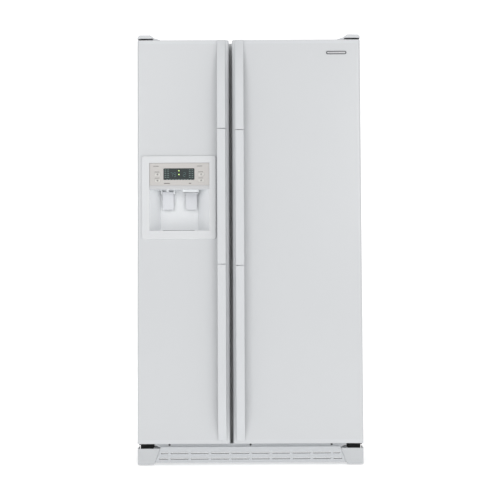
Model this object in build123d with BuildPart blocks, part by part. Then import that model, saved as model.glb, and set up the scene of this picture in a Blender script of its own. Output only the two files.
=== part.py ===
from build123d import *
import os

os.makedirs("parts", exist_ok=True)

# A free-standing side by side refrigerator. Millimetres, +Z up, the doors face -Y.
# The origin is on the floor under the middle of the whole object.

# ---------------------------------------------------------------- overall sizes
width = 912.0
cabinet_height = 1736.0
cabinet_depth = 590.0
door_depth = 68.0
seal_gap = 14.0
handle_reach = 38.0
rear_bulge = 10.0
door_bottom = 90.0
door_top_gap = 6.0
freezer_door_width = 374.0
door_gap = 13.0
sheet = 1.2
liner_wall = 2.0
foam_side = 50.0
foam_top = 54.0
foam_rear = 50.0
foam_floor = 70.0
mullion_width = 60.0

total_depth = handle_reach + door_depth + seal_gap + cabinet_depth + rear_bulge
y_handle = -total_depth / 2
y_door = y_handle + handle_reach
y_door_back = y_door + door_depth
y_cabinet = y_door_back + seal_gap
y_back = y_cabinet + cabinet_depth
half = width / 2
door_split = -half + freezer_door_width + door_gap / 2
door_top = cabinet_height - door_top_gap

# ---------------------------------------------------------------- base and machine space
cabinet_bottom = 78.0
machine_depth = 210.0
machine_top = 270.0
plate_z = 46.0
y_machine = y_back - machine_depth
roller_radius = 22.0
roller_width = 18.0
roller_setback = 60.0
foot_radius = 20.0
foot_stem_radius = 6.0
foot_setback = 55.0
foot_travel = 12.0
run_gap = 0.05
x_rail = half - 34.0

# ---------------------------------------------------------------- cavities
floor_z = cabinet_bottom + foam_floor
ceiling_z = cabinet_height - foam_top
y_step = y_machine - foam_rear
step_z = machine_top + foam_rear
y_liner_back = y_back - foam_rear - 10.0
freezer_x = (-half + foam_side, door_split - mullion_width / 2)
fridge_x = (door_split + mullion_width / 2, half - foam_side + 5.0)

# ---------------------------------------------------------------- doors
hinge_inset = 18.0
hinge_forward = 26.0
hinge_pin_radius = 5.0
pin_depth = 14.0
cap_height = 16.0
door_skin = 1.0
door_edge_radius = 12.0
seal_width = 16.0
seal_inset = hinge_inset + 2.0
seal_inset_free = 4.0
seal_inset_end = 14.0
dyke_depth = 30.0
dyke_width = 24.0
bin_reach = 100.0
shallow_reach = 60.0
bin_height = 92.0
bin_pitch = 230.0
swing_gap = 4.0
y_pin = y_door_back - hinge_forward

# ---------------------------------------------------------------- dispenser, across the freezer door
left_x = (-half, -half + freezer_door_width)
handle_width = 33.0
handle_inset = 14.0
frame_margin = 17.5
frame_handle_gap = 5.0
frame_border = (32.5, 28.4)
recess_draft = (38.0, 51.6)
lever_margin = (9.0, 3.0)
lever_spacing = 50.0
disp_x = (left_x[0] + frame_margin, left_x[1] - handle_inset - handle_width - frame_handle_gap)
bezel_x = (disp_x[0] + frame_border[0], disp_x[1] - frame_border[1])
recess_back_x = (bezel_x[0] + recess_draft[0], bezel_x[1] - recess_draft[1])
lever_width = (recess_back_x[1] - recess_back_x[0] - sum(lever_margin) - lever_spacing) / 2
water_x = recess_back_x[0] + lever_margin[0] + lever_width / 2
auger_x = recess_back_x[1] - lever_margin[1] - lever_width / 2

# ---------------------------------------------------------------- fittings
shelf_setback = 15.0
drawer_travel = 60.0
drawer_lip = 20.0
fit_gap = 1.5
pane = 4.0
tray_wall = 2.5


def block(x, y, z, mode=Mode.ADD):
    """A box between the low and high values of x, y and z."""
    centre = (sum(x) / 2, sum(y) / 2, sum(z) / 2)
    with Locations(centre):
        Box(x[1] - x[0], y[1] - y[0], z[1] - z[0], mode=mode)


def rod(centre, radius, length, axis=(0, 0, 1), mode=Mode.ADD):
    """A cylinder centred on a point, along an axis."""
    with Locations(Plane(centre, z_dir=axis).location):
        Cylinder(radius, length, mode=mode)


def tray(x, y, z, wall, mode=Mode.ADD):
    """A box open at the top."""
    block(x, y, z, mode)
    block(shrink(x, wall), shrink(y, wall), (z[0] + wall, z[1] + wall), Mode.SUBTRACT)


def shrink(span, amount):
    """A span with both of its ends moved inwards."""
    return (span[0] + amount, span[1] - amount)


def save(piece, label):
    """Name a finished piece and write it."""
    piece.part.label = label
    export_step(piece.part, f"parts/{label}.step")


def side_profile(points, x, mode=Mode.ADD):
    """A (y, z) outline extruded from the low to the high x."""
    with BuildSketch(Plane.YZ.offset(x[0])) as outline:
        with BuildLine():
            Polyline(*points, close=True)
        make_face()
    extrude(outline.sketch, amount=x[1] - x[0], mode=mode)


def cavity_points(inset):
    """The stepped side outline of a compartment, shrunk by an inset."""
    front = y_cabinet
    return [
        (front, floor_z + inset),
        (y_step - inset, floor_z + inset),
        (y_step - inset, step_z + inset),
        (y_liner_back - inset, step_z + inset),
        (y_liner_back - inset, ceiling_z - inset),
        (front, ceiling_z - inset),
    ]


# ================================================================ cabinet
with BuildPart() as cabinet_shell:
    block((-half, half), (y_cabinet, y_back - sheet), (cabinet_bottom, cabinet_height))
    inner = (cabinet_bottom - sheet, cabinet_height - sheet)
    block(shrink((-half, half), sheet), (y_cabinet + sheet, y_back), inner, Mode.SUBTRACT)
    for span in (freezer_x, fridge_x):
        block(span, (y_cabinet - 1, y_cabinet + 5), (floor_z, ceiling_z), Mode.SUBTRACT)
save(cabinet_shell, "cabinet_shell")

with BuildPart() as back_panel:
    block((-half, half), (y_back - sheet, y_back), (machine_top, cabinet_height))
save(back_panel, "back_panel")

with BuildPart() as base_frame:
    deck_x = shrink((-half, half), sheet)
    deck = [
        (y_cabinet + sheet, cabinet_bottom), (y_machine, cabinet_bottom),
        (y_machine, machine_top), (y_back - sheet, machine_top),
        (y_back - sheet, machine_top + 1.5), (y_machine - 1.5, machine_top + 1.5),
        (y_machine - 1.5, cabinet_bottom + 1.5), (y_cabinet + sheet, cabinet_bottom + 1.5),
    ]
    side_profile(deck, deck_x)
    y_foot = y_cabinet + foot_setback
    y_roller = y_back - roller_setback
    rail_y = (y_cabinet + 10.0, y_back - 6.0)
    for side in (-1, 1):
        centre_x = side * x_rail
        rail_x = (centre_x - roller_width / 2 - 5.0, centre_x + roller_width / 2 + 5.0)
        block(rail_x, rail_y, (30.0, cabinet_bottom))
        block(shrink(rail_x, 2.5), shrink(rail_y, 2.5), (20.0, cabinet_bottom - 2.5), Mode.SUBTRACT)
        block(rail_x, (y_roller - 14, y_roller + 14), (roller_radius - 10, 34))
        block(shrink(rail_x, 3.0), (y_roller - 30, y_roller + 30), (0, 60), Mode.SUBTRACT)
        rod((centre_x, y_roller, roller_radius), 4.0, rail_x[1] - rail_x[0], (1, 0, 0))
        block(rail_x, (y_foot - 14, y_foot + 14), (34.0, cabinet_bottom - 2.0))
        stem_hole = foot_stem_radius + run_gap
        rod((centre_x, y_foot, 50), stem_hole, 51, (0, 0, 1), Mode.SUBTRACT)
    plate_half = x_rail - roller_width / 2 - 5.0
    block((-plate_half, plate_half), (y_machine + 4, y_back - 12), (plate_z - 2, plate_z))
    block((-plate_half, plate_half), (y_machine + 4, y_machine + 6), (plate_z - 2, cabinet_bottom + 2))
save(base_frame, "base_frame")

for side, name in ((-1, "left"), (1, "right")):
    with BuildPart() as foot:
        rod((side * x_rail, y_foot, 4), foot_radius, 8)
        chamfer(foot.edges().group_by(Axis.Z)[-1], 2)
        with BuildSketch(Plane.XY.offset(8)) as nut:
            with Locations((side * x_rail, y_foot)):
                RegularPolygon(10, 6)
        extrude(nut.sketch, amount=8)
        rod((side * x_rail, y_foot, 38), foot_stem_radius, 60)
    save(foot, f"foot_{name}")
    with BuildPart() as roller:
        rod((side * x_rail, y_roller, roller_radius), roller_radius, roller_width - 1, (1, 0, 0))
        fillet(roller.edges(), 1.5)
        rod((side * x_rail, y_roller, roller_radius), 4.0 + run_gap, 40, (1, 0, 0), Mode.SUBTRACT)
    save(roller, f"roller_{name}")

with BuildPart() as cabinet_foam:
    foam_y = (y_cabinet + sheet, y_back - sheet)
    block(shrink((-half, half), sheet), foam_y, (cabinet_bottom + 1.5, cabinet_height - sheet))
    block(
        (-half, half), (y_machine - 1.5, y_back), (cabinet_bottom, machine_top + 1.5), Mode.SUBTRACT
    )
    for span in (freezer_x, fridge_x):
        side_profile(cavity_points(0), span, Mode.SUBTRACT)
save(cabinet_foam, "cabinet_foam")

for span, name in ((freezer_x, "freezer_liner"), (fridge_x, "fridge_liner")):
    with BuildPart() as liner:
        side_profile(cavity_points(0), span)
        side_profile(cavity_points(liner_wall), shrink(span, liner_wall), Mode.SUBTRACT)
        block(span, (y_cabinet - 1, y_cabinet), (floor_z, ceiling_z), Mode.SUBTRACT)
    save(liner, name)

# ---------------------------------------------------------------- hinges and their covers
hinge_plate = 4.0
arm_half = 13.0
plate_reach = 44.0
hinge_overlap = 70.0
cover_height = 16.0
cover_gap = 2.0
cover_top_width = 54.0
cover_width = 67.0
cover_length = 170.0
cover_corner = 8.0
wing_width = 92.0
wing_depth = 10.0
cover_wall = 2.5
pin_x = half - hinge_inset

with BuildPart() as door_hinges:
    for side in (-1, 1):
        x = side * pin_x
        arm = (x - arm_half, x + arm_half)
        wide = sorted((x - side * plate_reach, x + side * arm_half))
        top = (cabinet_height, cabinet_height + hinge_plate)
        block(arm, (y_pin - arm_half, y_cabinet + hinge_overlap), top)
        block(wide, (y_cabinet + 20, y_cabinet + hinge_overlap), top)
        low = door_top - pin_depth
        rod((x, y_pin, (low + top[0] + 2) / 2), hinge_pin_radius, top[0] + 2 - low)
        base = (door_bottom - 9.0, door_bottom - 5.0)
        block(arm, (y_pin - arm_half, y_cabinet), base)
        block(wide, (y_cabinet - hinge_plate, y_cabinet), (cabinet_bottom - 30.0, base[1]))
        pin_top = door_bottom + pin_depth
        rod((x, y_pin, (base[0] + pin_top) / 2), hinge_pin_radius, pin_top - base[0])
        rod((x, y_pin, door_bottom - 3.0), 9.0, 4.0)
save(door_hinges, "door_hinges")



def cover_outline(side, inset):
    """The front outline of a hinge cover, shrunk by a wall thickness."""
    low = cabinet_height + (cover_gap if inset == 0 else 0)
    top = cabinet_height + cover_height - inset
    outer = half - inset
    Polyline(
        (side * outer, low), (side * outer, top - cover_corner), (side * (outer - cover_corner), top),
        (side * (half - cover_top_width), top), (side * (half - cover_width + inset), low + 3.0),
        (side * (half - cover_width + inset), low), close=True,
    )


with BuildPart() as hinge_covers:
    y_cover = y_door + 6.0
    for side in (-1, 1):
        with BuildSketch(Plane.XZ.offset(-y_cover)) as face:
            with BuildLine() as line:
                cover_outline(side, 0)
            make_face()
        extrude(face.sketch, amount=-cover_length)
        with BuildSketch(Plane.XZ.offset(-y_cover - cover_wall)) as hollow:
            with BuildLine():
                cover_outline(side, cover_wall)
            make_face()
        extrude(hollow.sketch, amount=-cover_length, mode=Mode.SUBTRACT)
        with BuildSketch(Plane.XZ.offset(-y_cover)) as wing:
            with BuildLine():
                Polyline(
                    (side * (half - cover_width + 1), door_top + 1.5),
                    (side * (half - cover_width + 1), cabinet_height + 5.0),
                    (side * (half - wing_width), door_top + 2.5),
                    (side * (half - wing_width), door_top + 1.5), close=True,
                )
            make_face()
        extrude(wing.sketch, amount=-wing_depth)
save(hinge_covers, "hinge_covers")

# ---------------------------------------------------------------- base trim
grille_top_half = half - 94.0
grille_bottom_half = half - 68.0
grille_thick = 12.0
trim_low = 5.0
grille_low = 12.0
grille_high = cabinet_bottom - 3.0
band_half = half - 70.0
band_taper = 22.0
band_high = door_bottom - 3.0
cover_high = grille_high - 6.0
y_trim = y_door + 14.0
slot_rows = (grille_low + 15.5, grille_high - 25.0)
slot_margin = 10.0
slot_height = 5.0
slot_pitch = 82.0
slot_bridge = 10.0

grille_slope = (grille_bottom_half - grille_top_half) / (grille_high - trim_low)

with BuildPart() as base_grille:
    with BuildSketch(Plane.XZ.offset(-y_trim)) as face:
        with BuildLine():
            low_half = grille_top_half + grille_slope * (grille_high - grille_low)
            Polyline(
                (-low_half, grille_low), (low_half, grille_low),
                (grille_top_half, grille_high), (-grille_top_half, grille_high), close=True,
            )
        make_face()
        for z in slot_rows:
            row_half = grille_top_half + grille_slope * (grille_high - z) - slot_margin
            starts = int(row_half / slot_pitch)
            for index in range(-starts, starts):
                with Locations(((index + 0.5) * slot_pitch, z)):
                    SlotOverall(slot_pitch - slot_bridge, slot_height, mode=Mode.SUBTRACT)
            rest = row_half - starts * slot_pitch - slot_bridge / 2
            if rest > 2 * slot_height:
                for side in (-1, 1):
                    with Locations((side * (row_half - rest / 2), z)):
                        SlotOverall(rest, slot_height, mode=Mode.SUBTRACT)
    extrude(face.sketch, amount=-grille_thick)
    with BuildSketch(Plane.XZ.offset(-y_trim - grille_thick + 3)) as band:
        with BuildLine():
            Polyline(
                (-band_half, band_high), (band_half, band_high), (band_half, band_high - 5),
                (band_half - band_taper, grille_high - 4), (band_taper - band_half, grille_high - 4),
                (-band_half, band_high - 5), close=True,
            )
        make_face()
    extrude(band.sketch, amount=-4)
    ledge_x = (band_taper - band_half, band_half - band_taper)
    ledge_y = (y_trim + grille_thick - 2, y_cabinet - hinge_plate - 0.5)
    block(ledge_x, ledge_y, (grille_high - 3, grille_high))
save(base_grille, "base_grille")

with BuildPart() as leg_covers:
    for side in (-1, 1):
        with BuildSketch(Plane.XZ.offset(-y_trim + 3)) as face:
            with BuildLine():
                top_half = grille_top_half + grille_slope * (grille_high - cover_high) + 1
                Polyline(
                    (side * half, trim_low), (side * (grille_bottom_half + 1), trim_low),
                    (side * top_half, cover_high), (side * half, cover_high), close=True,
                )
            make_face()
        extrude(face.sketch, amount=-(y_cabinet - y_trim - 5))
    fillet(leg_covers.edges().filter_by(Axis.Z).group_by(Axis.Y)[0], 6)
    for side in (-1, 1):
        span = sorted((side * (half - 3), side * (grille_bottom_half + 4)))
        block(span, (y_trim, y_cabinet + 20), (0, cover_high + 1), Mode.SUBTRACT)
save(leg_covers, "leg_covers")

# ================================================================ machine space
compressor_x = half - 224.0
compressor_y = (y_machine + y_back) / 2
compressor_radius = 78.0
mount_height = 14.0

with BuildPart() as compressor:
    base_z = plate_z + mount_height
    rod((compressor_x, compressor_y, base_z + compressor_radius), compressor_radius, 2 * compressor_radius)
    fillet(compressor.edges().group_by(Axis.Z)[-1], 38)
    fillet(compressor.edges().group_by(Axis.Z)[0], 24)
    rod((compressor_x, compressor_y, base_z + 84), compressor_radius + 3, 8)
    base_x = (compressor_x - 105, compressor_x + 105)
    block(base_x, (compressor_y - 60, compressor_y + 60), (base_z - 2, base_z + 2))
    for dx in (-92, 92):
        for dy in (-48, 48):
            mount = (compressor_x + dx, compressor_y + dy, (plate_z + base_z + 6) / 2)
            rod(mount, 9, base_z + 6 - plate_z)
    relay_x = (compressor_x - compressor_radius - 22, compressor_x - compressor_radius + 8)
    block(relay_x, (compressor_y - 26, compressor_y + 26), (base_z + 40, base_z + 100))
    rod((compressor_x + 60, compressor_y - 40, base_z + 145), 4, 60)
save(compressor, "compressor")

with BuildPart() as drain_pan:
    pan_x = (-half + 60, -half + 330)
    pan_y = (y_machine + 14, y_back - 20)
    tray(pan_x, pan_y, (plate_z, plate_z + 34), 2.0)
save(drain_pan, "drain_pan")


def fin_block(x, y, z, fins, tubes):
    """A heat exchanger: plate fins across X with straight tubes through them."""
    pitch = (x[1] - x[0] - 1.0) / (fins - 1)
    for index in range(fins):
        block((x[0] + index * pitch, x[0] + index * pitch + 1.0), y, z)
    rise = (z[1] - z[0]) / tubes
    for index in range(tubes):
        level = z[0] + (index + 0.5) * rise
        for depth in (0.3, 0.7):
            along = y[0] + depth * (y[1] - y[0])
            rod(((x[0] + x[1]) / 2, along, level), 4.0, x[1] - x[0] + 16, (1, 0, 0))
    for end in (x[0] - 6, x[1] + 6):
        block((end - 2, end + 2), (y[0] + 0.22 * (y[1] - y[0]), y[0] + 0.78 * (y[1] - y[0])), z)


with BuildPart() as condenser:
    condenser_x = (pan_x[0] + 30, pan_x[0] + 230)
    fin_block(condenser_x, (y_machine + 40, y_back - 50), (plate_z + 50, plate_z + 190), 24, 5)
    for x in (condenser_x[0] - 6, condenser_x[1] + 6):
        block((x - 2, x + 2), (y_machine + 70, y_machine + 90), (plate_z + 2, plate_z + 60))
save(condenser, "condenser")

fan_x = pan_x[1] + 40.0
fan_z = plate_z + 100.0
fan_y = (y_machine + y_back) / 2
fan_radius = 62.0


def fan_blades(centre, axis, radius, blades):
    """A hub with twisted flat blades, turning about its axis."""
    hub = Plane(centre, z_dir=axis)
    with Locations(hub.location):
        Cylinder(16, 20)
        with PolarLocations((radius + 12) / 2, blades):
            with Locations(Location((0, 0, 0), (32, 0, 0))):
                Box(radius - 12, 34, 1.6)
        Cylinder(3.0 + run_gap, 30, mode=Mode.SUBTRACT)


with BuildPart() as fan_shroud:
    block((fan_x, fan_x + 3), (fan_y - 80, fan_y + 80), (plate_z, plate_z + 190))
    rod((fan_x, fan_y, fan_z), fan_radius + 6, 20, (1, 0, 0), Mode.SUBTRACT)
    block((fan_x + 20, fan_x + 24), (fan_y - 80, fan_y + 80), (fan_z - 9, fan_z + 9))
    for y in (fan_y - 80, fan_y + 76):
        block((fan_x, fan_x + 24), (y, y + 4), (fan_z - 9, fan_z + 9))
    rod((fan_x + 38, fan_y, fan_z), 24, 36, (1, 0, 0))
    rod((fan_x + 10, fan_y, fan_z), 3.0, 40, (1, 0, 0))
save(fan_shroud, "fan_shroud")

with BuildPart() as condenser_fan:
    fan_blades((fan_x + 2, fan_y, fan_z), (1, 0, 0), fan_radius, 5)
save(condenser_fan, "condenser_fan")

valve_x = -half + 52.0
valve_z = machine_top - 56.0
inlet_x = half - 60.0
inlet_z = 120.0
vent_pitch = (80.0, 16.0)
with BuildPart() as machine_cover:
    cover_x = shrink((-half, half), 8.0)
    block(cover_x, (y_back, y_back + 1.5), (plate_z - 12.0, machine_top + 24.0))
    blister_x = (154.0 - half, half - 154.0)
    blister_z = (plate_z + 14.0, machine_top - 20.0)
    block(blister_x, (y_back, y_back + rear_bulge), blister_z)
    inside_y = (y_back - 1, y_back + rear_bulge - 1.5)
    block(shrink(blister_x, 1.5), inside_y, shrink(blister_z, 1.5), Mode.SUBTRACT)
    vent_columns = int((blister_x[1] - 60.0) / vent_pitch[0])
    vent_rows = int((blister_z[1] - blister_z[0] - 30.0) / vent_pitch[1])
    for row in range(vent_rows):
        z = blister_z[0] + 20.0 + row * vent_pitch[1]
        for column in range(-vent_columns, vent_columns + 1):
            x = column * vent_pitch[0]
            block((x - 32, x + 32), (y_back - 1, y_back + 20), (z, z + 6), Mode.SUBTRACT)
    window = ((valve_x - 30, valve_x + 30), (y_back - 2, y_back + 3), (valve_z - 30, valve_z + 30))
    block(*window, Mode.SUBTRACT)
    rod((inlet_x, y_back, inlet_z), 11.0, 10, (0, 1, 0), Mode.SUBTRACT)
save(machine_cover, "machine_cover")

with BuildPart() as inlet_valve:
    block((valve_x - 34, valve_x + 34), (y_back - 12, y_back - 10), (valve_z - 34, machine_top))
    block((valve_x - 18, valve_x + 18), (y_back - 52, y_back - 12), (valve_z - 20, valve_z + 20))
    rod((valve_x, y_back - 4, valve_z), 13.2, 24, (0, 1, 0))
    rod((valve_x, y_back, valve_z), 8.5, 40, (0, 1, 0), Mode.SUBTRACT)
    rod((valve_x, y_back - 40, valve_z - 30), 12, 30)
save(inlet_valve, "inlet_valve")

with BuildPart() as mains_inlet:
    rod((inlet_x, y_back + 1.5 + 2.5, inlet_z), 15, 5, (0, 1, 0))
    rod((inlet_x, y_back - 6, inlet_z), 11, 20, (0, 1, 0))
    rod((inlet_x, y_back, inlet_z), 4.5, 60, (0, 1, 0), Mode.SUBTRACT)
save(mains_inlet, "mains_inlet")

# ================================================================ compartment fittings
freezer_in = shrink(freezer_x, liner_wall)
fridge_in = shrink(fridge_x, liner_wall)
bin_back = y_door_back + swing_gap + bin_reach + 10.0
shelf_front = bin_back + shelf_setback
drawer_front = y_door_back + shallow_reach + drawer_travel + drawer_lip + 2 * swing_gap
cover_depth = 60.0
freezer_back = y_liner_back - liner_wall - cover_depth
fridge_back = y_liner_back - liner_wall - 34.0
drawer_low = (floor_z + liner_wall + 3.0, step_z - 18.0)
drawer_high = (step_z + liner_wall + 3.0, step_z + 190.0)
fan2_z = step_z + 770.0
cold_cover_top = ceiling_z - 202.0
coil_z = (step_z + 320.0, step_z + 610.0)

with BuildPart() as evaporator:
    coil_x = shrink(freezer_in, 16.0)
    fin_block(coil_x, (freezer_back + 10, y_liner_back - liner_wall - 8), coil_z, 26, 8)
    for x in coil_x:
        bracket_z = (coil_z[0] + 60, coil_z[0] + 80)
        block((x - 1, x + 1), (y_liner_back - 12, y_liner_back - liner_wall), bracket_z)
save(evaporator, "evaporator")

with BuildPart() as evaporator_cover:
    panel = ((freezer_in[0] + 1, freezer_in[1] - 1), (freezer_back, freezer_back + 3))
    block(*panel, (step_z + liner_wall, cold_cover_top))
    mid_x = sum(freezer_in) / 2
    rod((mid_x, freezer_back, fan2_z), 52, 20, (0, 1, 0), Mode.SUBTRACT)
    low_rows = [step_z + 60.0 + 20.0 * row for row in range(7)]
    high_rows = [fan2_z + 130.0 + 20.0 * row for row in range(10)]
    for z in (*low_rows, *high_rows):
        if z < cold_cover_top - 60.0:
            block((mid_x - 90, mid_x + 90), (freezer_back - 1, freezer_back + 4), (z, z + 7), Mode.SUBTRACT)
    block((mid_x - 58, mid_x + 58), (freezer_back + 26, freezer_back + 29), (fan2_z - 8, fan2_z + 8))
    for x in (mid_x - 58, mid_x + 54):
        block((x, x + 4), (freezer_back, freezer_back + 29), (fan2_z - 8, fan2_z + 8))
    rod((mid_x, freezer_back + 38, fan2_z), 20, 22, (0, 1, 0))
    rod((mid_x, freezer_back + 16, fan2_z), 3.0, 30, (0, 1, 0))
save(evaporator_cover, "evaporator_cover")

with BuildPart() as evaporator_fan:
    fan_blades((mid_x, freezer_back + 11, fan2_z), (0, 1, 0), 47.0, 6)
save(evaporator_fan, "evaporator_fan")

with BuildPart() as air_duct:
    duct_mid = sum(fridge_in) / 2
    duct_z = (step_z + 210, ceiling_z - 14)
    block((duct_mid - 105, duct_mid + 105), (fridge_back, y_liner_back - liner_wall), duct_z)
    fillet(air_duct.edges().filter_by(Axis.Z).group_by(Axis.Y)[0], 14)
    hollow_y = (fridge_back + 3, y_liner_back)
    block((duct_mid - 100, duct_mid + 100), hollow_y, shrink(duct_z, 3), Mode.SUBTRACT)
    for z in range(int(duct_z[0]) + 90, int(duct_z[1]) - 60, 190):
        for x in (duct_mid - 60, duct_mid + 60):
            for row in (0, 14, 28):
                outlet_z = (z + row, z + row + 6)
                block((x - 26, x + 26), (fridge_back - 1, fridge_back + 5), outlet_z, Mode.SUBTRACT)
save(air_duct, "air_duct")

shelf_thick = 16.0
shelf_pitch = 190.0
shelf_room = 200.0
crisper_top = step_z + 200.0
bucket_height = 140.0
bucket_drop = 382.0
bucket_z = (ceiling_z - bucket_drop, ceiling_z - bucket_drop + bucket_height)


def levels(first, pitch, stop):
    """Evenly spaced heights that stay under a stop."""
    found = []
    while first <= stop:
        found.append(first)
        first += pitch
    return found


freezer_levels = levels(crisper_top + shelf_pitch, shelf_pitch, bucket_z[0] - shelf_room)
fridge_levels = levels(crisper_top + shelf_room + 30.0, shelf_pitch + 20.0, ceiling_z - shelf_room)
panes = []
for z in freezer_levels:
    panes.append((shrink(freezer_in, fit_gap), (shelf_front, freezer_back - 12), z))
for z in (*fridge_levels, crisper_top):
    panes.append((shrink(fridge_in, fit_gap), (shelf_front, fridge_back - 12), z))

with BuildPart() as shelf_panes:
    for x, y, z in panes:
        block(shrink(x, 8), shrink(y, 8), (z + 4, z + 4 + pane))
save(shelf_panes, "shelf_panes")

with BuildPart() as shelf_rims:
    for x, y, z in panes:
        block(x, y, (z, z + shelf_thick))
        block(shrink(x, 14), shrink(y, 14), (z - 1, z + 20), Mode.SUBTRACT)
        block(shrink(x, 8), shrink(y, 8), (z + 4, z + 4 + pane), Mode.SUBTRACT)
        block(shrink(x, 8), shrink(y, 8), (z + 4, z + 20), Mode.SUBTRACT)
save(shelf_rims, "shelf_rims")


def drawer(x, y, z, label):
    """A storage drawer: an open box with a thicker front and a finger lip."""
    with BuildPart() as box:
        tray(x, y, z, tray_wall)
        block(x, (y[0] - 6, y[0] + 0.5), (z[0], z[1] + 4))
        fillet(box.edges().filter_by(Axis.Z).group_by(Axis.Y)[0], 4)
        mid = sum(x) / 2
        block((mid - 60, mid + 60), (y[0] - drawer_lip, y[0] - 5), (z[1] - 18, z[1] - 14))
        fillet(box.edges().filter_by(Axis.Z).group_by(Axis.Y)[0], 8)
    save(box, label)


drawer_x = (shrink(freezer_in, fit_gap + 2), shrink(fridge_in, fit_gap + 2))
for x, place in zip(drawer_x, ("freezer_drawer", "crisper")):
    rear = (freezer_back if place == "freezer_drawer" else fridge_back) - 14
    drawer(x, (drawer_front, y_step - liner_wall - 4), drawer_low, f"{place}_lower")
    drawer(x, (drawer_front, rear), drawer_high, f"{place}_upper")

# ---------------------------------------------------------------- ice maker, bucket and auger
bucket_y = (shelf_front - 40.0, freezer_back - 20.0)
bucket_x = shrink(freezer_in, 14.0)
auger_z = bucket_z[0] + 36.0
chute_width = 60.0
chute_x = (auger_x - chute_width / 2, auger_x + chute_width / 2)

with BuildPart() as ice_bucket:
    tray(bucket_x, bucket_y, bucket_z, 3.0)
    mouth_y = (bucket_y[0] + 3, bucket_y[0] + 38)
    block(shrink(chute_x, 6), mouth_y, (bucket_z[0] - 1, bucket_z[0] + 4), Mode.SUBTRACT)
    rod((auger_x, bucket_y[1] - 10, auger_z), 9, 20, (0, 1, 0))
    rod((auger_x, bucket_y[1], auger_z), 4.0 + run_gap, 60, (0, 1, 0), Mode.SUBTRACT)
    block(bucket_x, (bucket_y[0] - 4, bucket_y[0] + 1), (bucket_z[0], bucket_z[1] + 10))
save(ice_bucket, "ice_bucket")

with BuildPart() as ice_auger:
    shaft_y = (bucket_y[0] + 8, bucket_y[1] + 12)
    rod((auger_x, sum(shaft_y) / 2, auger_z), 4.0, shaft_y[1] - shaft_y[0], (0, 1, 0))
    paddles = 9
    for index in range(paddles):
        along = bucket_y[0] + 22 + index * (bucket_y[1] - bucket_y[0] - 60) / (paddles - 1)
        hub = Plane((auger_x, along, auger_z), z_dir=(0, 1, 0))
        with Locations(hub.location * Location((0, 0, 0), (0, 0, 40 * index))):
            with Locations(Location((0, 14, 0), (0, 24, 0))):
                Box(12, 28, 3)
save(ice_auger, "ice_auger")

with BuildPart() as ice_maker:
    maker_z = (bucket_z[1] + 60.0, ceiling_z - 92.0)
    maker_y = (shelf_front + 20.0, freezer_back - 60.0)
    maker_x = (freezer_in[0] + 60, freezer_in[1] - 30)
    block(maker_x, (maker_y[0], maker_y[0] + 60), maker_z)
    block(shrink(maker_x, 4), (maker_y[0] + 60, maker_y[1]), (maker_z[0] + 6, maker_z[0] + 50))
    cells = 6
    pitch = (maker_y[1] - maker_y[0] - 70) / cells
    for column in (0, 1):
        for index in range(cells):
            span = (maker_x[1] - maker_x[0] - 24) / 2
            x0 = maker_x[0] + 10 + column * (span + 4)
            y0 = maker_y[0] + 66 + index * pitch
            block((x0, x0 + span), (y0, y0 + pitch - 4), (maker_z[0] + 14, maker_z[0] + 60), Mode.SUBTRACT)
    for x in maker_x:
        block((x - 3, x + 3), (maker_y[0], maker_y[0] + 56), (maker_z[0] + 40, ceiling_z - liner_wall))
save(ice_maker, "ice_maker")

# ================================================================ doors
right_x = (door_split + door_gap / 2, half)
door_z = (door_bottom, door_top)
dyke_z = (floor_z + liner_wall + swing_gap, ceiling_z - liner_wall - swing_gap)
bulge_reach = 69.0
bulge_back = y_door_back + bulge_reach
bulge_z_top = bucket_z[0] - 10.0
frame_height = 341.0
disp_z = (bulge_z_top - 35.0 - frame_height, bulge_z_top - 35.0)
bezel_z = (disp_z[0] + 34.5, disp_z[1] - 30.0)
panel_height = 92.0
header_height = 14.0
panel_low = bezel_z[1] - panel_height
recess_top = panel_low - header_height
recess_depth = 80.0
recess_rise = 6.0
flange_depth = 12.0
frame_proud = 6.0
housing_wall = 2.5
cutout = 8.0
bulge_x = (freezer_in[0] + 10.0, freezer_in[1] - 18.0)
bulge_z = (disp_z[0] + 8.0, bulge_z_top)
chute_low = recess_top - 11.0
chute_front = 15.0
chute_depth = 38.0
chute_widen = 4.0
chute_lean = bulge_back - y_door - chute_depth - chute_widen - housing_wall - 0.5
recess_y = y_door + recess_depth


def bin_span(hinge_x, free_wall, reach):
    """How far from the hinge axis a fitting of some reach may extend and still swing out."""
    radius = abs(free_wall - hinge_x)
    depth = y_door_back + reach - y_pin
    return (radius**2 - depth**2) ** 0.5 - swing_gap


def door_section(x, y, z, radius, mode=Mode.ADD):
    """A door-shaped slab, its two upright front edges rounded."""
    with BuildSketch(Plane.XY.offset(z[0])) as section:
        with Locations((sum(x) / 2, sum(y) / 2)):
            Rectangle(x[1] - x[0], y[1] - y[0])
        if radius > 0:
            fillet(section.vertices().group_by(Axis.Y)[0], radius)
    extrude(section.sketch, amount=z[1] - z[0], mode=mode)


def ring(x, y, z, width, mode=Mode.ADD):
    """A rectangular ring in the XZ plane."""
    with BuildSketch(Plane.XZ.offset(-y[0])) as loop:
        with Locations((sum(x) / 2, sum(z) / 2)):
            Rectangle(x[1] - x[0], z[1] - z[0])
            Rectangle(x[1] - x[0] - 2 * width, z[1] - z[0] - 2 * width, mode=Mode.SUBTRACT)
    extrude(loop.sketch, amount=-(y[1] - y[0]), mode=mode)


def chute_y(z):
    """The front and rear walls of the slanted ice passage at a height."""
    share = (z - chute_low) / (bulge_z[1] - chute_low)
    return (
        y_door + chute_front + share * (chute_lean - chute_front),
        y_door + chute_front + chute_depth + share * (chute_lean - chute_front + chute_widen),
    )


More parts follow.
